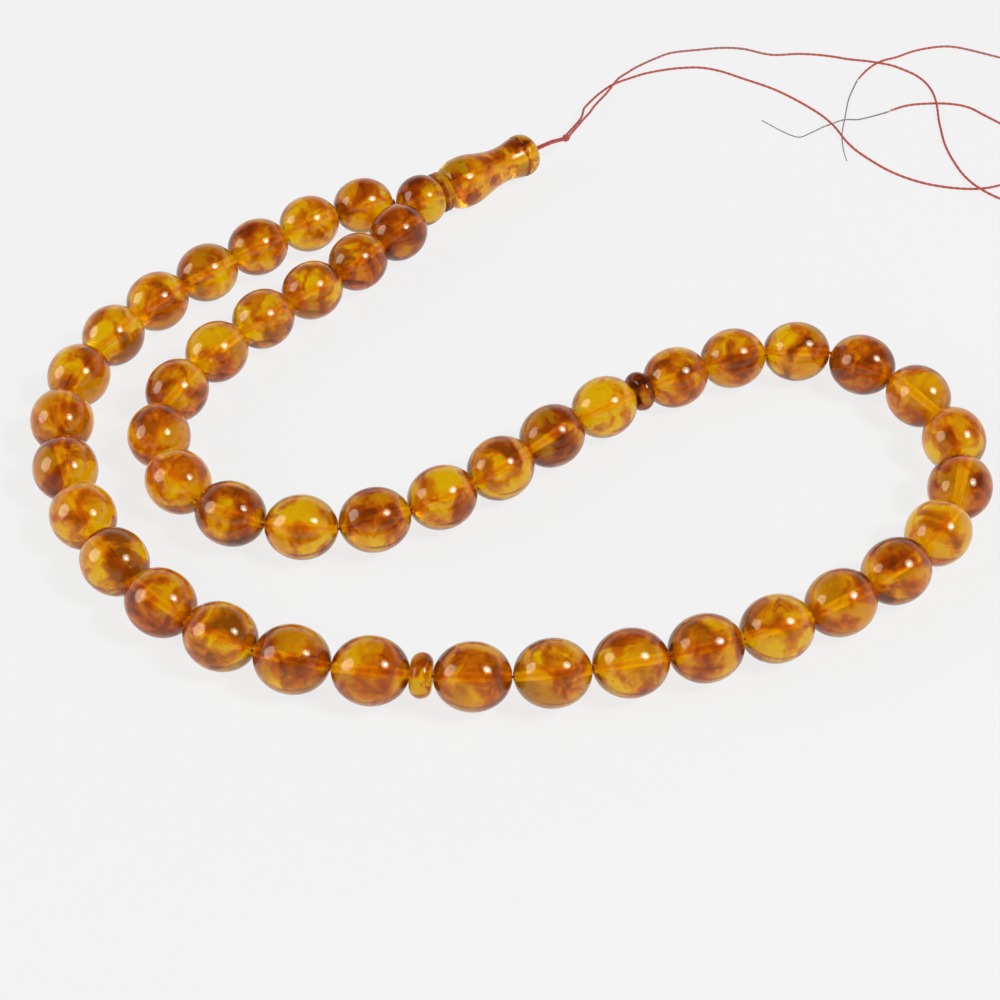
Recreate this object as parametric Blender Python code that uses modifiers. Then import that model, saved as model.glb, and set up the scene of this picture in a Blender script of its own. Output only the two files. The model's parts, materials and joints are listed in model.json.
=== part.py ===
"""Misbaha prayer beads: 45 amber beads in three counts of fifteen, two divider discs, and a leader
of ball, disc and turned imame on one red thread that is knotted past the tip and ends in two tails.
The beads lie in an open S-shaped loop on a surface at z = 0. Lengths below are in millimetres."""

import math

import bpy
from mathutils import Matrix, Vector

MM = 0.001

# Beads and discs
BEAD_RADIUS = 5.05
BEAD_HALF = 5.4  # half the bead's length along its bore
BORE_RADIUS = 0.5
MOUTH_RADIUS = 0.85  # where the countersink meets the bead's skin
MOUTH_DEPTH = 0.4
BEADS_PER_COUNT = 15
DISC_RADIUS = 3.25
DISC_HALF = 1.4
CLEARANCE = 0.215  # between neighbours on the thread
BEAD_SIDES = 12
AXIS_HEIGHT = 4.95  # of every bore above the surface

# Leader
LEADER_HEADING = math.radians(41)
BALL_CENTRE = (-16.9, 47.8)
BALL_RADIUS = 4.65
BALL_FACE = 3.1  # the flat face towards the disc, from the ball's middle
LEADER_BORE = 0.7
LEADER_DISC_RADIUS = 3.75
LEADER_DISC_LENGTH = 1.9
IMAME_LENGTH = 20.7
TIP_BORE = 0.9
TIP_BORE_DEPTH = 4.2
PAIR_OFFSET = 0.27  # of each of the two strands from the leader's axis
STRAIGHT_OUT = 2.9  # the strands run straight this far past the tip

# Thread
THREAD_RADIUS = 0.25
TIP_RADIUS = 0.15  # of the stiffened ends
REST = 0.26  # a tail's own height on the surface
TIP_REST = 0.16
KNOT = (9.4, 71.0, 4.15)
KNOT_HALF = 0.85
KNOT_RADIUS = 0.75

# Middle of the loop and leader on the surface, which becomes the origin
MIDDLE = (0.0, 0.9)

# The loop's run, from the leader round to the leader again
LOOP = [
    (-22.4, 48.3), (-32.2, 43.2), (-48.7, 28.5), (-63.1, 11.9), (-70.5, -8.7), (-65.4, -30.1),
    (-53.0, -48.2), (-34.7, -60.2), (-12.9, -63.6), (1.4, -63.5), (23.3, -58.9), (43.8, -50.7),
    (61.5, -37.3), (67.8, -28.0), (70.9, -17.2), (69.0, -6.2), (62.3, 2.8), (52.6, 8.3),
    (41.5, 8.3), (22.2, -2.2), (10.7, -10.4), (-5.1, -25.8), (-24.5, -36.2), (-35.7, -35.9),
    (-46.1, -31.5), (-53.3, -22.8), (-55.1, -11.7), (-45.3, 8.0), (-30.5, 24.4), (-17.3, 42.3),
    (-15.0, 46.2),
]

# The two tails, each from the knot out and back to its stiffened end
TAIL_A = [
    (10.7, 73.7, 3.75), (11.85, 77.0, 3.1), (13.0, 80.5, 2.4), (14.2, 83.7, 1.8),
    (15.2, 86.9, 1.3), (16.3, 89.7, 0.9), (17.4, 92.2, 0.6), (18.6, 94.6, 0.4), (19.7, 96.9),
    (20.8, 99.2), (22.0, 101.2),
    (23.5, 103.2), (25.6, 105.3), (28.1, 107.5), (31.5, 110.0), (37.6, 111.7), (42.9, 112.8),
    (46.8, 112.6), (52.5, 110.6), (58.6, 111.3), (64.0, 110.9), (69.5, 109.4), (74.1, 107.7),
    (78.0, 106.9), (81.4, 104.6), (83.7, 100.3), (84.1, 93.6), (83.8, 85.2), (83.8, 78.1),
    (85.0, 70.9), (87.1, 64.2), (91.3, 60.9), (97.0, 59.5), (104.0, 60.5), (111.0, 65.0),
    (116.5, 73.0), (119.0, 83.0), (118.5, 93.0), (115.0, 102.0), (108.5, 108.6), (100.5, 112.3),
    (91.7, 116.0), (88.5, 116.0), (83.0, 114.0), (78.4, 110.9), (74.6, 108.0), (71.6, 105.0),
    (69.4, 101.8),
]
TIP_A = [(69.3, 101.5), (66.9, 94.8), (65.2, 87.4), (63.9, 81.2), (63.6, 76.0), (63.8, 72.1)]
TAIL_B = [
    (10.15, 73.9, 3.75), (11.3, 77.15, 3.1), (12.45, 80.85, 2.3), (12.95, 83.9, 1.75),
    (13.2, 86.0, 1.3), (13.8, 87.9, 0.9), (14.8, 90.2, 0.6), (16.1, 92.8, 0.35), (17.2, 94.5),
    (18.3, 96.0), (19.6, 97.3), (20.9, 98.4), (22.7, 99.6), (25.5, 101.4), (29.1, 103.0),
    (33.2, 104.2),
    (37.6, 104.6), (41.4, 103.5), (45.7, 101.0), (52.1, 97.0), (57.3, 92.0), (60.0, 88.6),
    (62.2, 83.9), (64.5, 78.2), (68.3, 72.7), (72.4, 68.4), (78.0, 65.2), (84.5, 63.9),
    (89.1, 64.3), (93.0, 65.9), (97.5, 68.7), (101.0, 72.8), (102.3, 77.7), (100.5, 82.5),
    (97.0, 86.0), (93.5, 89.7), (90.6, 92.6), (87.1, 93.7), (81.0, 93.3), (77.9, 92.4),
    (74.5, 90.4),
]
TIP_B = [
    (74.2, 90.2), (68.6, 87.3), (64.4, 86.0), (61.2, 84.4), (58.0, 81.8), (55.4, 80.0),
    (53.4, 80.9), (48.4, 85.7),
]

# Where one strand passes over another: x, y, the rise and the length of each side of the hump
OVER_A = [(19.8, 97.3, 0.70, 6.0), (74.1, 107.7, 0.62, 7.0), (84.1, 93.6, 0.62, 7.0),
          (87.1, 64.2, 0.62, 7.0)]
OVER_B = [(62.6, 82.6, 0.6, 9.0)]
OVER_TIP_B = [(64.8, 86.1, 0.38, 3.4)]


def plan(x, y, z):
    """A point of the layout as the row frame's millimetres."""
    return Vector((x - MIDDLE[0], y - MIDDLE[1], z))


def smooth(points, per_span=24):
    """A smooth curve through the points (centripetal Catmull-Rom), sampled finely."""
    pts = [points[0] * 2 - points[1]] + list(points) + [points[-1] * 2 - points[-2]]
    line = []
    for a, b, c, d in zip(pts, pts[1:], pts[2:], pts[3:]):
        ta = 0.0
        tb = ta + math.sqrt((b - a).length)
        tc = tb + math.sqrt((c - b).length)
        td = tc + math.sqrt((d - c).length)
        for i in range(per_span):
            t = tb + (tc - tb) * i / per_span
            ab = a.lerp(b, (t - ta) / (tb - ta))
            bc = b.lerp(c, (t - tb) / (tc - tb))
            cd = c.lerp(d, (t - tc) / (td - tc))
            abc = ab.lerp(bc, (t - ta) / (tc - ta))
            bcd = bc.lerp(cd, (t - tb) / (td - tb))
            line.append(abc.lerp(bcd, (t - tb) / (tc - tb)))
    line.append(pts[-2].copy())
    return line


def evenly(line, count):
    """The same line as that many points, evenly spaced along it."""
    along = [0.0]
    for a, b in zip(line, line[1:]):
        along.append(along[-1] + (b - a).length)
    out = []
    i = 0
    for k in range(count):
        want = along[-1] * k / (count - 1)
        while i < len(line) - 2 and along[i + 1] < want:
            i += 1
        span = along[i + 1] - along[i]
        out.append(line[i].lerp(line[i + 1], (want - along[i]) / span))
    return out


def walk(line, chords):
    """Points on the line, each one chord further than the last."""
    out = [line[0].copy()]
    i = 0
    for chord in chords:
        here = out[-1]
        while (line[i + 1] - here).length < chord:
            i += 1
        a, b = line[i], line[i + 1]
        low, high = 0.0, 1.0
        for _ in range(40):
            mid = (low + high) / 2
            if (a.lerp(b, mid) - here).length < chord:
                low = mid
            else:
                high = mid
        out.append(a.lerp(b, low))
    return out


def bead_reach(bend):
    """From a bead's middle to the joint with its neighbour, when their bores meet at this bend."""
    half = bend / 2
    across = math.hypot(BEAD_HALF * math.cos(half), BEAD_RADIUS * math.sin(half))
    return across / math.cos(half) + CLEARANCE / 2


def amber(name, colour, transmission=0.55):
    return material(name, colour, 0.08, transmission)


def material(name, colour, roughness, transmission=0.0):
    made = bpy.data.materials.new(name)
    made.use_nodes = True
    shader = made.node_tree.nodes["Principled BSDF"]
    shader.inputs["Base Color"].default_value = (*colour, 1.0)
    shader.inputs["Roughness"].default_value = roughness
    shader.inputs["Transmission Weight"].default_value = transmission
    shader.inputs["IOR"].default_value = 1.54
    made.diffuse_color = (*colour, 1.0)
    return made


def add(name, data, made, parts):
    obj = bpy.data.objects.new(name, data)
    data.materials.append(made)
    parts.objects.link(obj)
    return obj


def turned(name, profile, sides, where, heading, made, parts):
    """A turned piece with a bore: the closed profile spun round its own Z, laid along the heading."""
    mesh = bpy.data.meshes.new(name)
    count = len(profile)
    ring = [(r * MM, 0.0, z * MM) for r, z in profile]
    mesh.from_pydata(ring, [(i, (i + 1) % count) for i in range(count)], [])
    obj = add(name, mesh, made, parts)
    spin = obj.modifiers.new("Turned", "SCREW")
    spin.steps = sides
    spin.render_steps = sides
    spin.use_merge_vertices = True
    spin.merge_threshold = 0.00001
    spin.use_smooth_shade = True
    lay = Matrix.Rotation(heading, 4, "Z") @ Matrix.Rotation(math.pi / 2, 4, "Y")
    # half a side more, so that a flat side of the turned piece faces down
    obj.matrix_world = (
        Matrix.Translation(where * MM) @ lay @ Matrix.Rotation(math.pi / sides, 4, "Z")
    )
    return obj


def tube(name, points, radius, made, parts):
    """A thread: a round tube along the points."""
    curve = bpy.data.curves.new(name, "CURVE")
    curve.dimensions = "3D"
    curve.bevel_depth = radius * MM
    curve.bevel_resolution = 2
    curve.use_fill_caps = True
    spline = curve.splines.new("POLY")
    spline.points.add(len(points) - 1)
    for target, point in zip(spline.points, points):
        target.co = (*(point * MM), 1.0)
    return add(name, curve, made, parts)


def bead_profile():
    """Down the skin from the upper mouth, then back up the bore."""
    rim = math.asin(MOUTH_RADIUS / BEAD_RADIUS)
    angles = [math.pi / 2 - rim] + [math.radians(a) for a in (62, 37, 12)]
    upper = [(BEAD_RADIUS * math.cos(a), BEAD_HALF * math.sin(a)) for a in angles]
    skin = upper + [(r, -z) for r, z in reversed(upper)]
    inner = upper[0][1] - MOUTH_DEPTH
    return skin + [(BORE_RADIUS, -inner), (BORE_RADIUS, inner)]


def disc_profile():
    """A small disc, rounded all the way from its face to its rim."""
    upper = [(BORE_RADIUS, DISC_HALF), (1.2, 1.47), (2.0, 1.38), (2.7, 1.02), (3.12, 0.46)]
    return upper + [(DISC_RADIUS, 0.0)] + [(r, -z) for r, z in reversed(upper)]


def ball_profile():
    """The leader's ball: cut flat at the top, where the disc sits, and round at the loop's end,
    with a wide countersink at each end of its bore."""
    flat = math.asin(BALL_FACE / BALL_RADIUS)
    mouth = math.acos(1.15 / BALL_RADIUS)
    down = (flat, 0.47, 0.24, 0.0, -0.24, -0.47, -0.76, -1.04, -mouth)
    skin = [(BALL_RADIUS * math.cos(a), BALL_RADIUS * math.sin(a)) for a in down]
    low = skin[-1][1] + 0.7
    return [(1.15, BALL_FACE)] + skin + [(LEADER_BORE, low), (LEADER_BORE, BALL_FACE - 0.7)]


def leader_disc_profile():
    half = LEADER_DISC_LENGTH / 2
    upper = [(LEADER_BORE, half), (2.7, half), (3.45, 0.72), (LEADER_DISC_RADIUS, 0.25)]
    return upper + [(r, -z) for r, z in reversed(upper)]


def imame_profile():
    """The turned tip piece: a round bulb, a waist, a flare, a ring groove and a rounded end.
    The tip is at the top, and the bore is wider there for the tassel's cord."""
    skin = [
        (1.7, 20.7), (2.5, 20.55), (3.25, 20.1), (3.75, 19.35), (3.93, 18.5), (3.85, 17.95),
        (3.6, 17.8), (3.8, 17.6), (3.78, 17.0), (3.55, 15.9), (3.36, 14.6), (3.28, 13.2),
        (3.36, 11.8), (3.65, 10.0), (4.1, 8.1), (4.52, 6.3), (4.7, 4.6), (4.62, 3.1),
        (4.2, 1.6), (3.5, 0.55), (2.7, 0.0),
    ]
    inner = [
        (LEADER_BORE, 0.0), (LEADER_BORE, IMAME_LENGTH - TIP_BORE_DEPTH),
        (TIP_BORE, IMAME_LENGTH - TIP_BORE_DEPTH), (TIP_BORE, IMAME_LENGTH),
    ]
    return skin + inner


def knot_profile():
    """Two turns of the thread drawn tight, with a waist between them, solid through."""
    upper = [(0.3, KNOT_HALF), (0.62, 0.66), (KNOT_RADIUS, 0.36), (0.66, 0.0)]
    return upper + [(r, -z) for r, z in reversed(upper[:-1])]


def knot_solid(name, where, heading, made, parts):
    """The knot has no bore, so its profile closes along the axis with a cap at each end."""
    mesh = bpy.data.meshes.new(name)
    profile = knot_profile()
    ring = [(0.0, 0.0, profile[0][1] * MM)]
    ring += [(r * MM, 0.0, z * MM) for r, z in profile]
    ring += [(0.0, 0.0, profile[-1][1] * MM)]
    mesh.from_pydata(ring, [(i, i + 1) for i in range(len(ring) - 1)], [])
    obj = add(name, mesh, made, parts)
    spin = obj.modifiers.new("Turned", "SCREW")
    spin.steps = BEAD_SIDES
    spin.render_steps = BEAD_SIDES
    spin.use_merge_vertices = True
    spin.merge_threshold = 0.00001
    spin.use_smooth_shade = True
    lay = Matrix.Rotation(heading, 4, "Z") @ Matrix.Rotation(math.pi / 2, 4, "Y")
    obj.matrix_world = Matrix.Translation(where * MM) @ lay
    return obj


def lay_out():
    """The joints between neighbours round the loop, each a point on the thread."""
    line = smooth([plan(x, y, AXIS_HEIGHT) for x, y in LOOP])
    kinds = (["bead"] * BEADS_PER_COUNT + ["disc"]) * 2 + ["bead"] * BEADS_PER_COUNT
    joints = None
    for _ in range(3):
        bends = [0.0] * (len(kinds) + 1)
        if joints:
            for i in range(1, len(kinds)):
                before, after = joints[i] - joints[i - 1], joints[i + 1] - joints[i]
                bends[i] = before.angle(after)
        chords = []
        for i, kind in enumerate(kinds):
            if kind == "disc":
                chords.append(2 * DISC_HALF + CLEARANCE)
            else:
                chords.append(bead_reach(bends[i]) + bead_reach(bends[i + 1]))
        joints = walk(line, chords)
    return kinds, joints


def into_leader(bead, forward, along, side):
    """One strand from the mouth of an end bead, round the leader's ball and into its bore.
    side is the unit vector from the leader's axis towards that bead."""
    ball = plan(*BALL_CENTRE, AXIS_HEIGHT)
    mouth = bead + forward * BEAD_HALF
    right = (ball - side * 6 - mouth).normalized()
    right = (right - forward * right.dot(forward)).normalized()
    towards = ball - bead
    gap_middle = bead + towards.normalized() * (towards.length - BALL_RADIUS + 5.37) / 2
    return [
        mouth - forward * 1.2,
        mouth - forward * 0.4 + right * 0.07,
        mouth + forward * 0.08 + right * 0.5,
        gap_middle,
        ball - along * 4.71 + side * 1.81,
        ball - along * 4.87 + side * 1.27,
        ball - along * 4.60 + side * 0.60,
        ball - along * 3.87 + side * PAIR_OFFSET,
    ]


def thread_route(kinds, joints):
    """The held thread: knot, leader, once round the loop, leader, knot."""
    along = Vector((math.cos(LEADER_HEADING), math.sin(LEADER_HEADING), 0))
    side = Vector((-along.y, along.x, 0))
    ball = plan(*BALL_CENTRE, AXIS_HEIGHT)
    tip = ball + along * leader_stations()["tip"]
    knot = plan(*KNOT)
    near = knot - (knot - tip).normalized() * (KNOT_HALF + 0.3)
    middle = (tip + along * STRAIGHT_OUT + near) / 2
    middle.z = (AXIS_HEIGHT * 3 + near.z) / 4
    straight = [4.0, 8.0, 13.0, 18.0, 23.0, leader_stations()["tip"] + STRAIGHT_OUT]
    run = []
    for a, b in zip(joints, joints[1:]):
        step = (b - a).normalized()
        if (b - a).length > 6:
            run += [a + step * 1.3, b - step * 1.3]
        else:
            run += [(a + b) / 2]
    first = (joints[0] + joints[1]) / 2
    last = (joints[-1] + joints[-2]) / 2
    entry = into_leader(first, (joints[0] - joints[1]).normalized(), along, side)
    leave = into_leader(last, (joints[-1] - joints[-2]).normalized(), along, -side)
    inside = [ball + along * s for s in straight]
    left = [p + side * PAIR_OFFSET for p in inside + [middle, near]]
    right = [p - side * PAIR_OFFSET for p in inside + [middle, near]]
    loop = with_joints(run[1:-1], joints)
    return left[::-1] + entry[::-1] + loop + leave + right


def with_joints(run, joints):
    """The points inside the beads, with each joint between two beads put in between them."""
    out = []
    for a, b in zip(run, run[1:]):
        out.append(a)
        between = [j for j in joints[1:-1] if (j - a).length < 1.7 and (j - b).length < 1.7]
        if between:
            # the thread cuts the corner a little
            out.append(between[0] * 0.8 + (a + b) * 0.1)
    out.append(run[-1])
    return out


def leader_stations():
    """Distances along the leader's axis from the ball's middle."""
    disc = BALL_FACE + CLEARANCE + LEADER_DISC_LENGTH / 2
    imame = disc + LEADER_DISC_LENGTH / 2 + CLEARANCE
    return {"disc": disc, "imame": imame, "tip": imame + IMAME_LENGTH}


def tail_route(points, over, rest, start=None, count=80):
    line = [] if start is None else [start]
    line += [plan(*p) if len(p) == 3 else plan(*p, rest) for p in points]
    out = evenly(smooth(line), count)
    for p in out:
        for x, y, rise, reach in over:
            away = (Vector((p.x, p.y)) - Vector(plan(x, y, 0).xy)).length
            if away < reach:
                p.z += rise * math.cos(math.pi / 2 * away / reach) ** 2
    return out


def clear():
    for obj in list(bpy.data.objects):
        bpy.data.objects.remove(obj, do_unlink=True)


def main():
    clear()
    parts = bpy.data.collections.new("misbaha_prayer_beads")
    bpy.context.scene.collection.children.link(parts)
    kinds, joints = lay_out()

    # beads and divider discs round the loop
    bead_number, disc_number = 0, 0
    for kind, a, b in zip(kinds, joints, joints[1:]):
        heading = math.atan2(b.y - a.y, b.x - a.x)
        if kind == "bead":
            bead_number += 1
            name = f"bead_{bead_number:02d}"
            tone = 0.5 + 0.5 * math.sin(bead_number * 2.4)
            colour = (0.66 + 0.08 * tone, 0.24 + 0.08 * tone, 0.012)
            turned(name, bead_profile(), BEAD_SIDES, (a + b) / 2, heading,
                   amber(f"amber_{name}", colour), parts)
        else:
            disc_number += 1
            name = f"divider_disc_{disc_number}"
            turned(name, disc_profile(), BEAD_SIDES, (a + b) / 2, heading,
                   amber(f"amber_{name}", (0.52, 0.13, 0.01)), parts)

    # leader
    along = Vector((math.cos(LEADER_HEADING), math.sin(LEADER_HEADING), 0))
    ball = plan(*BALL_CENTRE, AXIS_HEIGHT)
    stations = leader_stations()
    turned("leader_ball", ball_profile(), 16, ball, LEADER_HEADING,
           amber("amber_leader_ball", (0.68, 0.26, 0.012)), parts)
    turned("leader_disc", leader_disc_profile(), 16, ball + along * stations["disc"],
           LEADER_HEADING, amber("amber_leader_disc", (0.34, 0.07, 0.01)), parts)
    turned("imame", imame_profile(), 20, ball + along * stations["imame"], LEADER_HEADING,
           amber("amber_imame", (0.72, 0.30, 0.012)), parts)

    # thread, knot and tails
    red = (0.52, 0.055, 0.04)
    tube("loop_thread", thread_route(kinds, joints), THREAD_RADIUS,
         material("red_thread_loop", red, 0.6), parts)
    knot = plan(*KNOT)
    onward = plan(11.6, 77.0, 3.1) - knot
    heading = math.atan2(onward.y, onward.x)
    knot_solid("knot", knot, heading, material("red_thread_knot", red, 0.6), parts)
    flat = Vector((math.cos(heading), math.sin(heading), 0))
    beside = Vector((-flat.y, flat.x, 0)) * 0.32
    leaving = knot + flat * (KNOT_HALF + 0.3) + Vector((0, 0, -0.15))
    tube("tail_a", tail_route(TAIL_A, OVER_A, REST, leaving - beside), THREAD_RADIUS,
         material("red_thread_tail_a", red, 0.6), parts)
    tube("tail_b", tail_route(TAIL_B, OVER_B, REST, leaving + beside, 64), THREAD_RADIUS,
         material("red_thread_tail_b", red, 0.6), parts)
    grey = (0.30, 0.24, 0.24)
    tube("tip_a", tail_route(TIP_A, [], TIP_REST, None, 20), TIP_RADIUS,
         material("stiffened_end_a", grey, 0.5), parts)
    tube("tip_b", tail_route(TIP_B, OVER_TIP_B, TIP_REST, None, 24), TIP_RADIUS,
         material("stiffened_end_b", grey, 0.5), parts)


main()
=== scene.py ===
"""Looks of the misbaha prayer beads: polished cloudy amber beads and leader on a two-ply red thread.
Everything is in metres in the CAD model's frame. Outlines and routes are listed in millimetres
and scaled once."""

import json
import math

import bpy
import numpy as np
from mathutils import Matrix, Vector


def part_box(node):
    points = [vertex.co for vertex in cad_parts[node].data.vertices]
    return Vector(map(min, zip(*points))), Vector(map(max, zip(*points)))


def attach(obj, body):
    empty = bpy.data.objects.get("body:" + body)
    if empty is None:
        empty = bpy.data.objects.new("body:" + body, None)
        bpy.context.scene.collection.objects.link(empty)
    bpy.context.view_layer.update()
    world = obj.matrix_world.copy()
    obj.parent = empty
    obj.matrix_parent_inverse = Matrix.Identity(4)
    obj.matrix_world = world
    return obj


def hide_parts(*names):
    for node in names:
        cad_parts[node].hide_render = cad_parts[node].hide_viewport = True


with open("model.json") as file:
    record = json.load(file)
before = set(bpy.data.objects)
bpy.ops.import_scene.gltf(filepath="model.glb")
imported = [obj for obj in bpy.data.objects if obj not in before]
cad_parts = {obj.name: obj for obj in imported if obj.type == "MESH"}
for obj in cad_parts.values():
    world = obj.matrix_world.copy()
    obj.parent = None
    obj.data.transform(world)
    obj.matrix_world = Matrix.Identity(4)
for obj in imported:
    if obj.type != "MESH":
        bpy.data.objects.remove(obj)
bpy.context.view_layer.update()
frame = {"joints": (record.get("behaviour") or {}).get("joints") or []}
JOINTS = {joint["child"]: joint for joint in frame["joints"]}

MM = 0.001

# ---------------------------------------------------------------- sizes, in millimetres
BEAD_RADIUS = 4.9
BEAD_HALF = 5.4
SKIN_HALF = 5.47  # of the polished skin's oval, whose mouths stop at the bead's half length
BORE_RADIUS = 0.5
MOUTH_RADIUS = 0.68
DISC_HALF = 1.4
AXIS_HEIGHT = 4.95
BEADS_PER_COUNT = 15
BALL_RADIUS = 4.65
BALL_FACE = 3.1
LEADER_BORE = 0.7
PAIR_OFFSET = 0.27
STRAIGHT_OUT = 2.9
IMAME_LENGTH = 20.7
TIP_BORE = 0.9
TIP_BORE_DEPTH = 4.2
THREAD_RADIUS = 0.25
TIP_RADIUS = 0.15
REST = 0.26
TIP_REST = 0.16
KNOT = (9.4, 71.0, 4.15)
KNOT_HALF = 0.85
MIDDLE = (0.0, 0.9)

# The tails' routes, the same points as in the CAD model
TAIL_A = [
    (10.7, 73.7, 3.75), (11.85, 77.0, 3.1), (13.0, 80.5, 2.4), (14.2, 83.7, 1.8),
    (15.2, 86.9, 1.3), (16.3, 89.7, 0.9), (17.4, 92.2, 0.6), (18.6, 94.6, 0.4), (19.7, 96.9),
    (20.8, 99.2), (22.0, 101.2),
    (23.5, 103.2), (25.6, 105.3), (28.1, 107.5), (31.5, 110.0), (37.6, 111.7), (42.9, 112.8),
    (46.8, 112.6), (52.5, 110.6), (58.6, 111.3), (64.0, 110.9), (69.5, 109.4), (74.1, 107.7),
    (78.0, 106.9), (81.4, 104.6), (83.7, 100.3), (84.1, 93.6), (83.8, 85.2), (83.8, 78.1),
    (85.0, 70.9), (87.1, 64.2), (91.3, 60.9), (97.0, 59.5), (104.0, 60.5), (111.0, 65.0),
    (116.5, 73.0), (119.0, 83.0), (118.5, 93.0), (115.0, 102.0), (108.5, 108.6), (100.5, 112.3),
    (91.7, 116.0), (88.5, 116.0), (83.0, 114.0), (78.4, 110.9), (74.6, 108.0), (71.6, 105.0),
    (69.4, 101.8),
]
TIP_A = [(69.3, 101.5), (66.9, 94.8), (65.2, 87.4), (63.9, 81.2), (63.6, 76.0), (63.8, 72.1)]
TAIL_B = [
    (10.15, 73.9, 3.75), (11.3, 77.15, 3.1), (12.45, 80.85, 2.3), (12.95, 83.9, 1.75),
    (13.2, 86.0, 1.3), (13.8, 87.9, 0.9), (14.8, 90.2, 0.6), (16.1, 92.8, 0.35), (17.2, 94.5),
    (18.3, 96.0), (19.6, 97.3), (20.9, 98.4), (22.7, 99.6), (25.5, 101.4), (29.1, 103.0),
    (33.2, 104.2),
    (37.6, 104.6), (41.4, 103.5), (45.7, 101.0), (52.1, 97.0), (57.3, 92.0), (60.0, 88.6),
    (62.2, 83.9), (64.5, 78.2), (68.3, 72.7), (72.4, 68.4), (78.0, 65.2), (84.5, 63.9),
    (89.1, 64.3), (93.0, 65.9), (97.5, 68.7), (101.0, 72.8), (102.3, 77.7), (100.5, 82.5),
    (97.0, 86.0), (93.5, 89.7), (90.6, 92.6), (87.1, 93.7), (81.0, 93.3), (77.9, 92.4),
    (74.5, 90.4),
]
TIP_B = [
    (74.2, 90.2), (68.6, 87.3), (64.4, 86.0), (61.2, 84.4), (58.0, 81.8), (55.4, 80.0),
    (53.4, 80.9), (48.4, 85.7),
]

# Where one strand passes over another: x, y, the rise and the length of each side of the hump
OVER_A = [(19.8, 97.3, 0.70, 6.0), (74.1, 107.7, 0.62, 7.0), (84.1, 93.6, 0.62, 7.0),
          (87.1, 64.2, 0.62, 7.0)]
OVER_B = [(62.6, 82.6, 0.6, 9.0)]
OVER_TIP_B = [(64.8, 86.1, 0.38, 3.4)]

# Stretches of a tail where the dye has faded: middle and half length along it
FADED_A = [(52.0, 20.0), (222.0, 14.0)]

# ---------------------------------------------------------------- look
YELLOW = (0.92, 0.53, 0.001)
GOLD = (0.80, 0.29, 0.001)
ORANGE = (0.63, 0.125, 0.001)
RUSSET = (0.35, 0.050, 0.001)
UMBER = (0.14, 0.019, 0.002)
BORE_TINT = (1.0, 0.78, 0.16)
SHINE = (0.92, 0.76, 0.50)
THREAD_RED = (0.58, 0.090, 0.070)
THREAD_DARK_FIBRES_AND_GROOVE_SHADE = (0.44, 0.050, 0.040)
THREAD_FADED = (0.46, 0.25, 0.22)
TIP_GREY = (0.33, 0.275, 0.28)
FLOOR_GLOW = 0.795
FLOOR_WHITE = 0.12
AMBER_IOR = 1.54

# Beads that are mostly brown, and by how much
DARK_BEADS = {45: 0.07, 44: 0.05, 7: 0.03, 9: 0.03, 12: 0.03}


# ---------------------------------------------------------------- camera
def make_camera():
    """The view: from 44 degrees above, turned 1.8 degrees about its own axis."""
    data = bpy.data.cameras.new("camera")
    data.lens = 64.4
    data.sensor_width = 36
    data.clip_start = 0.01
    cam = bpy.data.objects.new("camera", data)
    bpy.context.scene.collection.objects.link(cam)
    place = Vector((-0.0010, -0.222217, 0.19342))
    target = Vector((-0.0010, -0.0299, 0.00495))
    look = (target - place).to_track_quat("-Z", "Y").to_matrix().to_4x4()
    cam.matrix_world = Matrix.Translation(place) @ look @ Matrix.Rotation(math.radians(1.78), 4, "Z")
    bpy.context.scene.camera = cam


# ---------------------------------------------------------------- routes
def plan(x, y, z):
    """A point of the layout in the model's frame, in millimetres."""
    return Vector((x - MIDDLE[0], y - MIDDLE[1], z))


def smooth(points, per_span=24):
    """A smooth curve through the points (centripetal Catmull-Rom), sampled finely."""
    pts = [points[0] * 2 - points[1]] + list(points) + [points[-1] * 2 - points[-2]]
    line = []
    for a, b, c, d in zip(pts, pts[1:], pts[2:], pts[3:]):
        ta = 0.0
        tb = ta + math.sqrt((b - a).length)
        tc = tb + math.sqrt((c - b).length)
        td = tc + math.sqrt((d - c).length)
        for i in range(per_span):
            t = tb + (tc - tb) * i / per_span
            ab = a.lerp(b, (t - ta) / (tb - ta))
            bc = b.lerp(c, (t - tb) / (tc - tb))
            cd = c.lerp(d, (t - tc) / (td - tc))
            abc = ab.lerp(bc, (t - ta) / (tc - ta))
            bcd = bc.lerp(cd, (t - tb) / (td - tb))
            line.append(abc.lerp(bcd, (t - tb) / (tc - tb)))
    line.append(pts[-2].copy())
    return line


def spaced(line, step):
    """The same line as an array of points about that far apart."""
    pts = np.array([list(p) for p in line], float)
    along = np.concatenate([[0], np.cumsum(np.linalg.norm(np.diff(pts, axis=0), axis=1))])
    at = np.linspace(0, along[-1], max(2, round(along[-1] / step) + 1))
    return np.stack([np.interp(at, along, pts[:, k]) for k in range(3)], axis=1)


def tail_route(points, over, rest, start=None, step=0.3):
    line = [] if start is None else [start]
    line += [plan(*p) if len(p) == 3 else plan(*p, rest) for p in points]
    out = spaced(smooth(line), step)
    for x, y, rise, reach in over:
        away = np.linalg.norm(out[:, :2] - np.array(plan(x, y, 0))[:2], axis=1)
        hump = rise * np.cos(np.pi / 2 * np.minimum(away / reach, 1)) ** 2
        out[:, 2] += hump
    return out


# ---------------------------------------------------------------- mesh helpers
def new_mesh(name, verts, faces, sharp=50.0):
    mesh = bpy.data.meshes.new(name)
    mesh.from_pydata([tuple(v) for v in verts], [], faces)
    mesh.shade_smooth()
    mesh.set_sharp_from_angle(angle=math.radians(sharp))
    return mesh


def add(name, mesh):
    obj = bpy.data.objects.new(name, mesh)
    bpy.context.scene.collection.objects.link(obj)
    return obj


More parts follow.
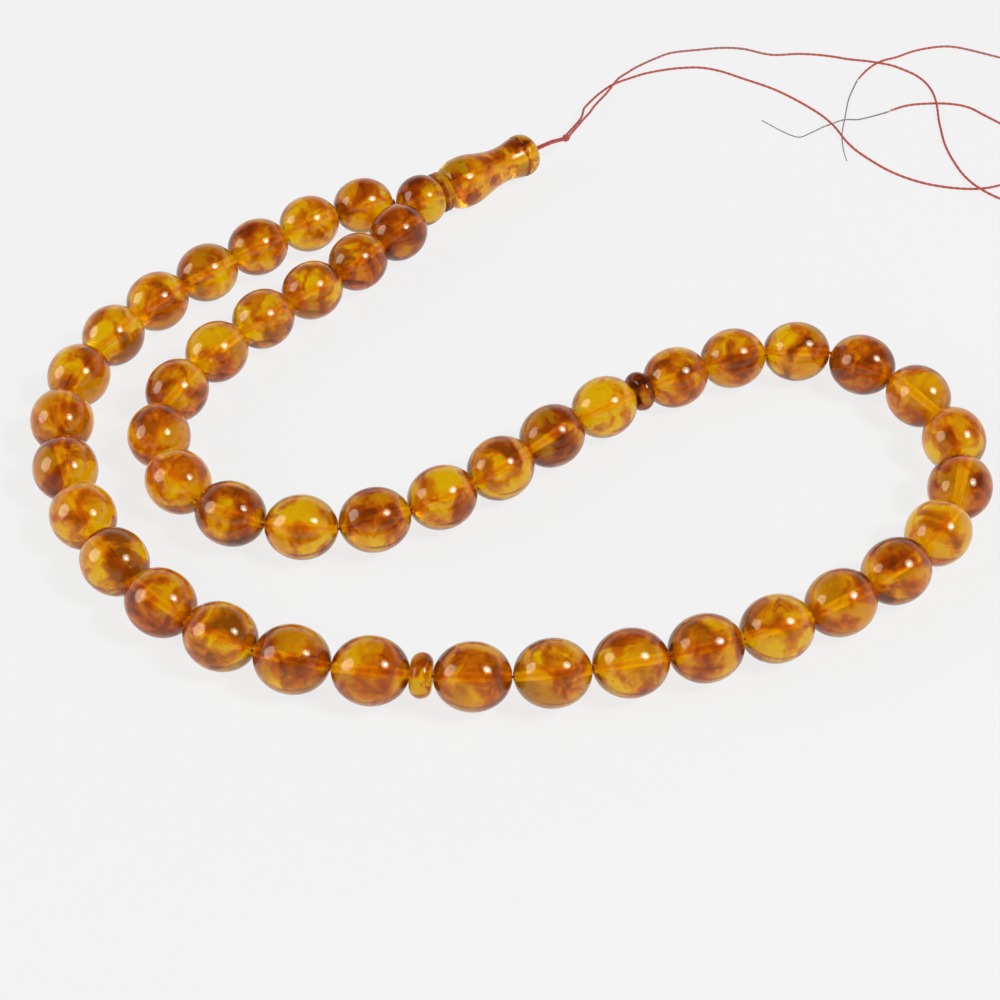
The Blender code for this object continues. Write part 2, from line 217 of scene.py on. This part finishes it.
def frames_along(line):
    """Two unit vectors across the line at each point, carried along it without twisting."""
    ahead = np.gradient(line, axis=0)
    ahead /= np.linalg.norm(ahead, axis=1)[:, None]
    across = np.zeros_like(line)
    first = np.cross(ahead[0], (0, 0, 1.0))
    across[0] = first / np.linalg.norm(first)
    for i in range(1, len(line)):
        side = across[i - 1] - ahead[i] * across[i - 1].dot(ahead[i])
        across[i] = side / np.linalg.norm(side)
    return across, np.cross(ahead, across)


def yarn(name, line, radius, material, lay=2.6, taper=None, sides=12, faded=()):
    """A two-ply thread along the line: a twisted waisted section, with round ends.
    Its "yarn" attribute holds the distance along and the angle round the twist. Each faded
    stretch is (middle, half length), in millimetres along the thread."""
    across, upward = frames_along(line)
    along = np.concatenate([[0], np.cumsum(np.linalg.norm(np.diff(line, axis=0), axis=1))])
    turn = 2 * np.pi * along / lay
    phi = np.linspace(0, 2 * np.pi, sides, endpoint=False)
    shape = 0.93 + 0.07 * np.cos(2 * phi)
    size = np.full(len(line), radius) if taper is None else radius * taper(along / along[-1])
    ends = np.minimum(along, along[-1] - along)
    size = size * np.sqrt(np.clip(1 - (1 - np.minimum(ends / (radius * 0.8), 1)) ** 2, 0.09, 1))
    angle = phi[None, :] + turn[:, None]
    ring = size[:, None] * shape[None, :]
    pts = (line[:, None, :] + across[:, None, :] * (ring * np.cos(angle))[:, :, None]
           + upward[:, None, :] * (ring * np.sin(angle))[:, :, None])
    count = len(line)
    verts = list(pts.reshape(-1, 3) * MM) + [line[0] * MM, line[-1] * MM]
    faces = []
    for i in range(count - 1):
        for k in range(sides):
            n = (k + 1) % sides
            faces.append((i * sides + k, i * sides + n, (i + 1) * sides + n, (i + 1) * sides + k))
    first, last = count * sides, count * sides + 1
    for k in range(sides):
        n = (k + 1) % sides
        faces.append((first, n, k))
        faces.append((last, (count - 1) * sides + k, (count - 1) * sides + n))
    mesh = new_mesh(name, verts, faces)
    wound = np.zeros((len(verts), 3), np.float32)
    wound[:-2, 0] = np.repeat(along, sides)
    wound[:-2, 1] = np.tile(np.cos(2 * phi), count)
    wound[:-2, 2] = np.tile(np.sin(2 * phi), count)
    wound[-1, 0] = along[-1]
    mesh.attributes.new("yarn", "FLOAT_VECTOR", "POINT").data.foreach_set("vector", wound.ravel())
    pale = sum((np.exp(-((wound[:, 0] - at) / half) ** 4) for at, half in faded), np.zeros(len(verts)))
    mesh.attributes.new("faded", "FLOAT", "POINT").data.foreach_set("value", pale.astype(np.float32))
    mesh.materials.append(material)
    return add(name, mesh)


def turned(name, profile, sides, material, inner, seed, tone, wobble=0.0, bands=()):
    """A turned and drilled piece round its own Z axis. The profile is a closed outline of
    (radius, height, part), where part 1 is the drilled wall and 0 the polished skin. Each band
    is (height, half width, tone): a ring round the piece that is that much browner."""
    rng = np.random.default_rng(seed)
    count = len(profile)
    theta = np.linspace(0, 2 * np.pi, sides, endpoint=False)
    radius = np.array([p[0] for p in profile])
    height = np.array([p[1] for p in profile])
    skin = np.array([1.0 - p[2] for p in profile])
    phase = rng.uniform(0, 2 * np.pi, 3)
    lean = wobble * (0.6 * np.cos(2 * theta[:, None] + phase[0] + 0.2 * height[None, :])
                     + 0.4 * np.cos(3 * theta[:, None] + phase[1]))
    across = radius[None, :] * (1 + lean * skin[None, :])
    pts = np.stack([across * np.cos(theta)[:, None], across * np.sin(theta)[:, None],
                    np.broadcast_to(height, across.shape)], axis=2).reshape(-1, 3)
    faces, parts = [], []
    for i in range(sides):
        j = (i + 1) % sides
        for k in range(count):
            n = (k + 1) % count
            faces.append((i * count + k, i * count + n, j * count + n, j * count + k))
            parts.append(int(profile[k][2] and profile[n][2]))
    mesh = new_mesh(name, pts * MM, faces)
    mesh.polygons.foreach_set("material_index", parts)
    spin = np.linalg.qr(rng.normal(size=(3, 3)))[0]
    grain = (pts @ spin + rng.uniform(-200, 200, 3)).astype(np.float32)
    mesh.attributes.new("grain", "FLOAT_VECTOR", "POINT").data.foreach_set("vector", grain.ravel())
    # A band can stand for painted shade, as the imame's band in its ring groove does.
    brown = np.full(len(pts), tone)
    for at, half, more in bands:
        brown += more * np.exp(-((pts[:, 2] - at) / half) ** 2)
    mesh.attributes.new("tone", "FLOAT", "POINT").data.foreach_set("value", brown.astype(np.float32))
    mesh.materials.append(material)
    mesh.materials.append(inner)
    return add(name, mesh)


def ends_alike(upper):
    """The whole outline of a piece whose two ends are alike, from its upper half."""
    return upper + [(r, -z, part) for r, z, part in reversed(upper)]


# ---------------------------------------------------------------- outlines
def bead_outline():
    """Bore wall, a softened mouth and an oval skin."""
    rim = math.asin((MOUTH_RADIUS + 0.08) / BEAD_RADIUS)
    top = SKIN_HALF * math.cos(rim)
    mouth = [(BORE_RADIUS, 1.7, 1), (BORE_RADIUS, 3.4, 1), (BORE_RADIUS, top - 0.42, 1),
             (BORE_RADIUS + 0.03, top - 0.30, 1), (MOUTH_RADIUS - 0.04, top - 0.07, 0),
             (MOUTH_RADIUS + 0.02, top - 0.01, 0)]
    steps = 22
    skin = []
    for i in range(steps):
        a = math.pi / 2 - rim - (math.pi / 2 - rim) * i / (steps - 0.5)
        skin.append((BEAD_RADIUS * math.cos(a), SKIN_HALF * math.sin(a), 0))
    return ends_alike(mouth + skin)


def disc_outline():
    """A small divider, rounded all the way from its face to its rim."""
    upper = [(BORE_RADIUS, 0.4, 1), (BORE_RADIUS, 1.22, 1), (0.56, 1.34, 1), (0.72, 1.43, 0),
             (1.1, 1.49, 0), (1.5, 1.55, 0), (1.85, 1.56, 0), (2.2, 1.49, 0), (2.52, 1.33, 0),
             (2.8, 1.09, 0), (3.0, 0.81, 0), (3.14, 0.49, 0), (3.21, 0.16, 0)]
    return ends_alike(upper)


def ball_outline():
    """Round at the loop's end and cut flat at the top, where the disc sits, with two mouths."""
    rim = math.asin(1.15 / BALL_RADIUS)
    low = BALL_RADIUS * math.cos(rim)
    flat = math.asin(BALL_FACE / BALL_RADIUS)
    outline = [(LEADER_BORE, 1.0, 1), (LEADER_BORE, BALL_FACE - 0.72, 1), (0.78, BALL_FACE - 0.55, 1),
               (1.02, BALL_FACE - 0.14, 1), (1.13, BALL_FACE - 0.01, 0), (1.3, BALL_FACE, 0),
               (2.2, BALL_FACE, 0), (3.1, BALL_FACE, 0), (3.36, BALL_FACE - 0.03, 0)]
    steps = 34
    for i in range(1, steps + 1):
        a = flat - (flat + math.pi / 2 - rim) * i / steps
        outline.append((BALL_RADIUS * math.cos(a), BALL_RADIUS * math.sin(a), 0))
    return outline + [(1.02, 0.16 - low, 1), (0.78, 0.55 - low, 1), (LEADER_BORE, 0.72 - low, 1),
                      (LEADER_BORE, -1.0, 1)]


def leader_disc_outline():
    """Two rounded ridges with a shallow groove between them."""
    upper = [(LEADER_BORE, 0.3, 1), (LEADER_BORE, 0.82, 1), (0.80, 0.92, 1), (0.95, 0.95, 0),
             (2.0, 0.95, 0), (2.75, 0.95, 0), (3.15, 0.92, 0), (3.45, 0.82, 0), (3.65, 0.65, 0),
             (3.73, 0.45, 0), (3.69, 0.26, 0), (3.56, 0.12, 0), (3.47, 0.04, 0)]
    return ends_alike(upper)


def imame_outline():
    """Bulb, waist, flare, ring groove and rounded end, with the wider bore at the tip."""
    skin = [
        (1.35, 20.72), (1.7, 20.72), (2.15, 20.66), (2.65, 20.5), (3.1, 20.22), (3.47, 19.83),
        (3.72, 19.35), (3.87, 18.85), (3.94, 18.4), (3.93, 17.95), (3.88, 17.68), (3.72, 17.56),
        (3.60, 17.42), (3.58, 17.24), (3.64, 17.08), (3.74, 16.98), (3.77, 16.8), (3.70, 16.4),
        (3.55, 15.8), (3.42, 15.1), (3.33, 14.3), (3.28, 13.5), (3.28, 12.7), (3.33, 11.9),
        (3.45, 11.0), (3.62, 10.1), (3.83, 9.15), (4.07, 8.2), (4.3, 7.3), (4.5, 6.45),
        (4.63, 5.6), (4.69, 4.75), (4.68, 3.9), (4.6, 3.1), (4.43, 2.3), (4.15, 1.55),
        (3.75, 0.88), (3.3, 0.38), (2.85, 0.08), (2.4, 0.0), (1.6, 0.0), (0.95, 0.0),
    ]
    outline = [(r, z, 0) for r, z in skin]
    step = IMAME_LENGTH - TIP_BORE_DEPTH
    inner = [(0.8, 0.03), (LEADER_BORE, 0.14), (LEADER_BORE, 4.0), (LEADER_BORE, 8.0),
             (LEADER_BORE, 12.0), (LEADER_BORE, step - 0.2), (TIP_BORE, step + 0.05),
             (TIP_BORE, step + 2.0), (TIP_BORE, 20.45), (1.02, 20.62)]
    return outline + [(r, z, 1) for r, z in inner]


# ---------------------------------------------------------------- materials
class Nodes:
    """Short calls for building a material's node tree."""

    def __init__(self, name):
        self.material = bpy.data.materials.new(name)
        self.material.use_nodes = True
        self.tree = self.material.node_tree
        self.shader = self.tree.nodes["Principled BSDF"]

    def new(self, kind, **settings):
        node = self.tree.nodes.new(kind)
        for key, value in settings.items():
            setattr(node, key, value)
        return node

    def link(self, out, into):
        self.tree.links.new(out, into)

    def attribute(self, name, output="Vector"):
        return self.new("ShaderNodeAttribute", attribute_name=name).outputs[output]

    def noise(self, vector, scale, detail=2.0, roughness=0.5, distortion=0.0):
        node = self.new("ShaderNodeTexNoise")
        self.link(vector, node.inputs["Vector"])
        node.inputs["Scale"].default_value = scale
        node.inputs["Detail"].default_value = detail
        node.inputs["Roughness"].default_value = roughness
        node.inputs["Distortion"].default_value = distortion
        return node

    def ramp(self, value, stops, smooth=True):
        node = self.new("ShaderNodeValToRGB")
        self.link(value, node.inputs["Fac"])
        ramp = node.color_ramp
        ramp.interpolation = "EASE" if smooth else "LINEAR"
        while len(ramp.elements) < len(stops):
            ramp.elements.new(0.5)
        for element, (place, colour) in zip(ramp.elements, stops):
            element.position = place
            element.color = (*colour, 1.0) if len(colour) == 3 else colour
        return node.outputs["Color"]

    def math(self, operation, a, b, clamp=False):
        node = self.new("ShaderNodeMath", operation=operation, use_clamp=clamp)
        for socket, value in zip(node.inputs, (a, b)):
            if isinstance(value, (int, float)):
                socket.default_value = value
            else:
                self.link(value, socket)
        return node.outputs["Value"]

    def range(self, value, low, high, to_low, to_high):
        node = self.new("ShaderNodeMapRange")
        self.link(value, node.inputs["Value"])
        for name, number in (("From Min", low), ("From Max", high), ("To Min", to_low), ("To Max", to_high)):
            node.inputs[name].default_value = number
        return node.outputs["Result"]

    def mix(self, factor, a, b, blend="MIX"):
        node = self.new("ShaderNodeMix", data_type="RGBA", blend_type=blend)
        if isinstance(factor, (int, float)):
            node.inputs["Factor"].default_value = factor
        else:
            self.link(factor, node.inputs["Factor"])
        for name, value in (("A", a), ("B", b)):
            socket = [s for s in node.inputs if s.name == name and s.type == "RGBA"][0]
            if isinstance(value, tuple):
                socket.default_value = (*value, 1.0)
            else:
                self.link(value, socket)
        return [s for s in node.outputs if s.type == "RGBA"][0]

    def bump(self, height, strength, distance):
        node = self.new("ShaderNodeBump")
        self.link(height, node.inputs["Height"])
        node.inputs["Strength"].default_value = strength
        node.inputs["Distance"].default_value = distance
        self.link(node.outputs["Normal"], self.shader.inputs["Normal"])


def amber_colour(n):
    """Clear yellow and clouded russet zones with torn edges, faint hairlines and dark flecks."""
    grain = n.attribute("grain")
    warp = n.noise(grain, 0.30, 2.0)
    away = n.new("ShaderNodeVectorMath", operation="MULTIPLY_ADD")
    n.link(warp.outputs["Color"], away.inputs[0])
    away.inputs[1].default_value = (2.6, 2.6, 2.6)
    n.link(grain, away.inputs[2])
    bent = away.outputs["Vector"]
    clouds = n.noise(bent, 0.21, 2.5, 0.5, 0.6).outputs["Fac"]
    shards = n.new("ShaderNodeTexVoronoi", feature="F1")
    n.link(bent, shards.inputs["Vector"])
    shards.inputs["Scale"].default_value = 0.30
    shard = n.new("ShaderNodeSeparateColor")
    n.link(shards.outputs["Color"], shard.inputs["Color"])
    zones = n.range(clouds, 0.2, 0.8, 0.04, 1.00)
    level = n.math("ADD", zones, n.math("MULTIPLY", shard.outputs["Red"], 0.16))
    level = n.math("ADD", level, n.attribute("tone", "Fac"))
    wisps = n.noise(bent, 0.9, 4.0, 0.62).outputs["Fac"]
    level = n.math("ADD", level, n.math("MULTIPLY", n.math("SUBTRACT", wisps, 0.5), 0.24), clamp=True)
    body = n.ramp(level, [(0.49, YELLOW), (0.57, GOLD), (0.65, ORANGE), (0.76, RUSSET), (0.90, UMBER)])
    cracks = n.new("ShaderNodeTexVoronoi", feature="DISTANCE_TO_EDGE")
    n.link(bent, cracks.inputs["Vector"])
    cracks.inputs["Scale"].default_value = 0.33
    hair = n.range(cracks.outputs["Distance"], 0.0, 0.03, 0.35, 0.0)
    body = n.mix(n.math("MULTIPLY", hair, n.range(wisps, 0.45, 0.65, 0.0, 1.0)), body, UMBER)
    fleck = n.noise(grain, 1.15, 2.0, 0.6).outputs["Fac"]
    return n.mix(n.range(fleck, 0.70, 0.76, 0.0, 0.75), body, UMBER), grain


def make_amber(name, clear):
    n = Nodes(name)
    colour, grain = amber_colour(n)
    n.link(colour, n.shader.inputs["Base Color"])
    n.shader.inputs["Transmission Weight"].default_value = clear
    n.shader.inputs["Specular IOR Level"].default_value = 0.11
    n.shader.inputs["Coat Weight"].default_value = 0.17
    n.shader.inputs["Coat Roughness"].default_value = 0.04
    n.shader.inputs["Specular Tint"].default_value = (*SHINE, 1.0)
    n.shader.inputs["IOR"].default_value = AMBER_IOR
    polish = n.noise(grain, 1.3, 3.0).outputs["Fac"]
    n.link(n.range(polish, 0.3, 0.7, 0.07, 0.16), n.shader.inputs["Roughness"])
    n.bump(n.noise(grain, 0.45, 2.0).outputs["Fac"], 0.25, 0.0002)
    return n.material


def make_drilled():
    """The wall of a bore, left matt by the drill, with a painted glow: a faint emission of its own that
    stands in for the light the wall scatters.
    """
    n = Nodes("drilled_amber_with_painted_glow")
    # Painted glow: the bore walls and their mouths emit a faint orange light, though they are no lamp.
    n.shader.inputs["Emission Color"].default_value = (1.0, 0.66, 0.05, 1.0)
    n.shader.inputs["Emission Strength"].default_value = 0.24
    grain = n.attribute("grain")
    rub = n.noise(grain, 2.2, 3.0).outputs["Fac"]
    n.link(n.mix(n.range(rub, 0.35, 0.7, 0.0, 0.35), BORE_TINT, GOLD), n.shader.inputs["Base Color"])
    n.shader.inputs["Transmission Weight"].default_value = 0.45
    n.shader.inputs["IOR"].default_value = 1.22
    n.link(n.range(rub, 0.3, 0.7, 0.3, 0.45), n.shader.inputs["Roughness"])
    n.bump(n.noise(grain, 6.0, 2.0).outputs["Fac"], 0.2, 0.00005)
    return n.material


def make_thread():
    """Two-ply polyester: fine filaments along the twist, with painted shade darkening the groove between the
    plies.
    """
    n = Nodes("red_thread")
    wound = n.attribute("yarn")
    split = n.new("ShaderNodeSeparateXYZ")
    n.link(wound, split.inputs[0])
    # Painted shade: the colour darkens towards the waist between the two plies.
    groove = n.range(split.outputs["Y"], -1.0, 0.4, 1.0, 0.0)
    patch = n.noise(wound, 0.35, 3.0).outputs["Fac"]
    fibre_at = n.new("ShaderNodeVectorMath", operation="MULTIPLY")
    n.link(wound, fibre_at.inputs[0])
    fibre_at.inputs[1].default_value = (1.2, 6.0, 6.0)
    fibres = n.noise(fibre_at.outputs["Vector"], 2.2, 2.0).outputs["Fac"]
    worn = n.mix(n.range(patch, 0.35, 0.7, 0.0, 0.45), THREAD_RED, (0.66, 0.15, 0.12))
    worn = n.mix(n.math("MULTIPLY", n.attribute("faded", "Fac"), 0.75), worn, THREAD_FADED)
    colour = n.mix(n.math("MULTIPLY", groove, 0.45), worn, THREAD_DARK_FIBRES_AND_GROOVE_SHADE)
    n.link(n.mix(n.range(fibres, 0.3, 0.7, 0.0, 0.35), colour, THREAD_DARK_FIBRES_AND_GROOVE_SHADE), n.shader.inputs["Base Color"])
    n.link(n.range(fibres, 0.3, 0.7, 0.45, 0.75), n.shader.inputs["Roughness"])
    n.shader.inputs["Sheen Weight"].default_value = 0.25
    n.shader.inputs["Sheen Roughness"].default_value = 0.4
    n.bump(fibres, 0.4, 0.00004)
    return n.material


def make_stiffened():
    """The ends of the tails, drawn to a point with glue."""
    n = Nodes("stiffened_end")
    wound = n.attribute("yarn")
    patch = n.noise(wound, 0.8, 3.0).outputs["Fac"]
    body = n.mix(n.range(patch, 0.35, 0.65, 0.0, 1.0), TIP_GREY, (0.27, 0.17, 0.165))
    n.link(body, n.shader.inputs["Base Color"])
    n.link(n.range(patch, 0.3, 0.7, 0.25, 0.45), n.shader.inputs["Roughness"])
    n.bump(patch, 0.3, 0.00003)
    return n.material


# ---------------------------------------------------------------- pieces
def lie_on(obj, body):
    """Puts a turned piece on the place and axis of its joint."""
    joint = JOINTS[body]
    axis = Vector(joint["axis"]).normalized()
    spin = Vector((0, 0, 1)).rotation_difference(axis).to_matrix().to_4x4()
    obj.data.transform(Matrix.Translation(Vector(joint["pos_m"])) @ spin)
    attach(obj, body)
    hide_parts(body)


def along_leader():
    return Vector(JOINTS["imame"]["axis"]).normalized()


def leader_line():
    """The ball's middle, the tip's mouth, the knot and the way into the knot, in millimetres."""
    ball = Vector(JOINTS["leader_ball"]["pos_m"]) / MM
    tip_at = (Vector(JOINTS["imame"]["pos_m"]) / MM - ball).length + IMAME_LENGTH
    tip = ball + along_leader() * tip_at
    knot = plan(*KNOT)
    return ball, tip, knot, (knot - tip).normalized()


def make_tails(red, grey):
    knot = plan(*KNOT)
    onward = plan(11.6, 77.0, 3.1) - knot
    heading = math.atan2(onward.y, onward.x)
    flat = Vector((math.cos(heading), math.sin(heading), 0))
    beside = Vector((-flat.y, flat.x, 0)) * 0.32
    leaving = knot + flat * (KNOT_HALF + 0.3) + Vector((0, 0, -0.15))
    for letter, points, over, start, tip_points, tip_over, faded in (
        ("a", TAIL_A, OVER_A, leaving - beside, TIP_A, [], FADED_A),
        ("b", TAIL_B, OVER_B, leaving + beside, TIP_B, OVER_TIP_B, ()),
    ):
        line = tail_route(points, over, REST, start)
        tail = yarn(f"thread_tail_{letter}", line, THREAD_RADIUS, red, faded=faded,
                    taper=lambda t: 1 - 0.32 * np.clip((t - 0.985) / 0.015, 0, 1) ** 2)
        tip_line = tail_route([points[-1], *tip_points], tip_over, TIP_REST)
        tip = yarn(f"stiffened_end_{letter}", tip_line, TIP_RADIUS, grey, lay=3.2,
                   taper=lambda t: 1.15 - 0.45 * t)
        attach(tail, "thread")
        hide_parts(f"tail_{letter}")
        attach(tip, "thread")
        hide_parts(f"tip_{letter}")


def make_beads(amber, drilled):
    for number in range(1, 3 * BEADS_PER_COUNT + 1):
        name = f"bead_{number:02d}"
        tone = 0.05 * math.sin(number * 2.4) + DARK_BEADS.get(number, 0.0)
        bead = turned(f"amber_{name}", bead_outline(), 56, amber, drilled, number, tone, 0.006)
        lie_on(bead, name)


def make_dividers(amber, drilled):
    for number in (1, 2):
        name = f"divider_disc_{number}"
        tone = (-0.12, 0.19)[number - 1]
        disc = turned(f"amber_{name}", disc_outline(), 48, amber, drilled, 60 + number, tone, 0.004)
        lie_on(disc, name)


def make_leader(amber, drilled):
    ball = turned("amber_leader_ball", ball_outline(), 56, amber, drilled, 71, 0.06, 0.004)
    lie_on(ball, "leader_ball")
    # The band at 17.25 mm browns the ring groove: painted shade in the groove. The band at 19.4 mm browns
    # the rounded end.
    imame = turned("amber_imame", imame_outline(), 64, amber, drilled, 73, -0.03,
                   bands=[(17.25, 0.34, 0.45), (19.4, 1.4, 0.12)])
    lie_on(imame, "imame")
    disc = turned("amber_leader_disc", leader_disc_outline(), 64, amber, drilled, 72, -0.05,
                  bands=[(-0.65, 0.28, 0.14), (0.85, 0.15, 0.06)])
    low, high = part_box("leader_disc")
    spin = Vector((0, 0, 1)).rotation_difference(along_leader()).to_matrix().to_4x4()
    disc.data.transform(Matrix.Translation((low + high) / 2) @ spin)
    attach(disc, "leader_disc")
    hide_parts("leader_disc")


def loop_pieces():
    """Middle, direction and half length of each piece in the order of the loop, in millimetres."""
    count = [f"bead_{n:02d}" for n in range(1, 3 * BEADS_PER_COUNT + 1)]
    order = (count[:15] + ["divider_disc_1"] + count[15:30] + ["divider_disc_2"] + count[30:])
    out = []
    for name in order:
        joint = JOINTS[name]
        half = DISC_HALF if name.startswith("divider") else BEAD_HALF
        out.append((Vector(joint["pos_m"]) / MM, Vector(joint["axis"]).normalized(), half))
    return out


def into_leader(middle, forward, along, side):
    """One strand from the mouth of an end bead, round the leader's ball and into its bore."""
    ball = Vector(JOINTS["leader_ball"]["pos_m"]) / MM
    mouth = middle + forward * BEAD_HALF
    right = (ball - side * 6 - mouth).normalized()
    right = (right - forward * right.dot(forward)).normalized()
    towards = ball - middle
    gap_middle = middle + towards.normalized() * (towards.length - BALL_RADIUS + 5.37) / 2
    return [
        mouth - forward * 1.2,
        mouth - forward * 0.4 + right * 0.07,
        mouth + forward * 0.08 + right * 0.5,
        gap_middle,
        ball - along * 4.71 + side * 1.81,
        ball - along * 4.87 + side * 1.27,
        ball - along * 4.60 + side * 0.60,
        ball - along * 3.87 + side * PAIR_OFFSET,
    ]


def make_loop_thread(red):
    along = along_leader()
    side = Vector((-along.y, along.x, 0)).normalized()
    ball, tip, knot, inward = leader_line()
    near = knot - inward * (KNOT_HALF + 0.3)
    middle = (tip + along * STRAIGHT_OUT + near) / 2
    middle.z = (AXIS_HEIGHT * 3 + near.z) / 4
    stops = [4.0, 8.0, 13.0, 18.0, 23.0, (tip - ball).length + STRAIGHT_OUT]
    inside = [ball + along * s for s in stops] + [middle, near]
    pieces = loop_pieces()
    (first, first_way, _), (last, last_way, _) = pieces[0], pieces[-1]
    run = []
    for (a, way_a, half_a), (b, way_b, half_b) in zip(pieces, pieces[1:]):
        leave, enter = a + way_a * half_a, b - way_b * half_b
        run.append(a + way_a * max(half_a - 1.2, 0))
        run.append((leave + enter) / 2)
        if half_b > 2:
            run.append(b - way_b * (half_b - 1.2))
    entry = into_leader(first, -first_way, along, side)
    leave = into_leader(last, last_way, along, -side)
    pair = [p + side * PAIR_OFFSET for p in inside[::-1]], [p - side * PAIR_OFFSET for p in inside]
    line = spaced(smooth(pair[0] + entry[::-1] + run + leave + pair[1]), 0.3)
    thread = yarn("thread_loop", line, THREAD_RADIUS, red)
    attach(thread, "thread")
    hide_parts("loop_thread")


def make_knot(red):
    """A tight overhand knot of the doubled thread: turns round the strands, with a nub at each end."""
    _, _, knot, inward = leader_line()
    onward = plan(11.6, 77.0, 3.1) - knot
    heading = math.atan2(onward.y, onward.x)
    ahead = Vector((math.cos(heading), math.sin(heading), -0.1)).normalized()
    aside = Vector((-ahead.y, ahead.x, 0)).normalized()
    across = Vector((-inward.y, inward.x, 0)).normalized()
    lie = (ahead + inward).normalized()
    beside = Vector((-lie.y, lie.x, 0)).normalized()
    up = lie.cross(beside)
    wraps = []
    for i in range(121):
        t = i / 120
        a = 2 * math.pi * 2.6 * t + 0.6
        r = (0.40 + 0.14 * math.cos(2 * math.pi * t) ** 2) * min(1.0, 0.35 + 5 * t, 0.35 + 5 * (1 - t))
        z = (t - 0.5) * 1.15
        wraps.append(knot + lie * z + beside * (r * math.cos(a)) + up * (r * math.sin(a)))
    wrap = yarn("thread_knot", spaced(wraps, 0.12), THREAD_RADIUS, red, lay=2.0)
    strands = []
    for sign, name in ((1, "thread_knot_strand_1"), (-1, "thread_knot_strand_2")):
        path = [knot - inward * (KNOT_HALF + 0.75) + across * (PAIR_OFFSET * sign) + Vector((0, 0, 0.03)),
                knot - inward * 0.6 + across * (0.22 * sign),
                knot - beside * (0.1 * sign) + up * 0.1 * sign,
                knot + ahead * 0.7 - aside * (0.26 * sign),
                knot + ahead * (KNOT_HALF + 0.6) - aside * (0.32 * sign) + Vector((0, 0, -0.13))]
        strands.append(yarn(name, spaced(smooth(path), 0.15), THREAD_RADIUS, red))
    for piece in [wrap, *strands]:
        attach(piece, "thread")
    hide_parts("knot")


# ---------------------------------------------------------------- studio
def make_floor():
    n = Nodes("pale_floor")
    n.shader.inputs["Base Color"].default_value = (FLOOR_WHITE, FLOOR_WHITE, FLOOR_WHITE, 1)
    n.shader.inputs["Roughness"].default_value = 1.0
    n.shader.inputs["Specular IOR Level"].default_value = 0.0
    n.shader.inputs["Emission Color"].default_value = (1, 1, 1, 1)
    n.shader.inputs["Emission Strength"].default_value = FLOOR_GLOW
    half = 3.0
    mesh = bpy.data.meshes.new("floor")
    corners = [(-half, -half, 0), (half, -half, 0), (half, half, 0), (-half, half, 0)]
    mesh.from_pydata(corners, [], [(0, 1, 2, 3)])
    mesh.materials.append(n.material)
    floor = add("floor", mesh)


def softbox(name, way, distance, width, height, radiance):
    """An oval light facing the middle of the scene; radiance is how bright its face is."""
    data = bpy.data.lights.new(name, "AREA")
    data.shape = "ELLIPSE"
    data.size, data.size_y = width, height
    data.energy = radiance * math.pi * width * height * math.pi / 4
    light = bpy.data.objects.new(name, data)
    bpy.context.scene.collection.objects.link(light)
    way = Vector(way).normalized()
    place = Vector((0, 0, 0)) + way * distance
    light.matrix_world = Matrix.Translation(place) @ way.to_track_quat("Z", "Y").to_matrix().to_4x4()


def make_light():
    softbox("softbox_left", (-0.88, -0.12, 0.465), 0.9, 0.50, 0.60, 5.0)
    softbox("softbox_right", (0.59, -0.21, 0.77), 0.9, 0.36, 0.36, 9.0)
    softbox("lamp_right", (0.59, -0.24, 0.75), 0.8, 0.13, 0.13, 32.0)
    world = bpy.data.worlds.new("studio")
    bpy.context.scene.world = world
    world.use_nodes = True
    tree = world.node_tree
    shade = tree.nodes["Background"]
    place = tree.nodes.new("ShaderNodeTexCoord")
    split = tree.nodes.new("ShaderNodeSeparateXYZ")
    ramp = tree.nodes.new("ShaderNodeValToRGB")
    tree.links.new(place.outputs["Generated"], split.inputs[0])
    tree.links.new(split.outputs["Z"], ramp.inputs["Fac"])
    tree.links.new(ramp.outputs["Color"], shade.inputs["Color"])
    ramp.color_ramp.elements[0].position = 0.20
    ramp.color_ramp.elements[0].color = (0.89, 0.89, 0.89, 1)
    ramp.color_ramp.elements[1].position = 0.55
    ramp.color_ramp.elements[1].color = (0.06, 0.06, 0.06, 1)


def set_quality():
    scene = bpy.context.scene
    scene.view_settings.view_transform = "Standard"
    scene.cycles.use_denoising = True
    scene.cycles.sample_clamp_indirect = 6.0
    scene.cycles.max_bounces = 16
    scene.cycles.transmission_bounces = 14


def main():
    make_camera()
    red, grey = make_thread(), make_stiffened()
    make_tails(red, grey)
    drilled = make_drilled()
    make_beads(make_amber("amber", 0.84), drilled)
    make_dividers(make_amber("amber_of_the_dividers", 0.50), drilled)
    make_leader(make_amber("amber_of_the_leader", 0.70), drilled)
    make_loop_thread(red)
    make_knot(red)
    make_floor()
    make_light()
    set_quality()


main()
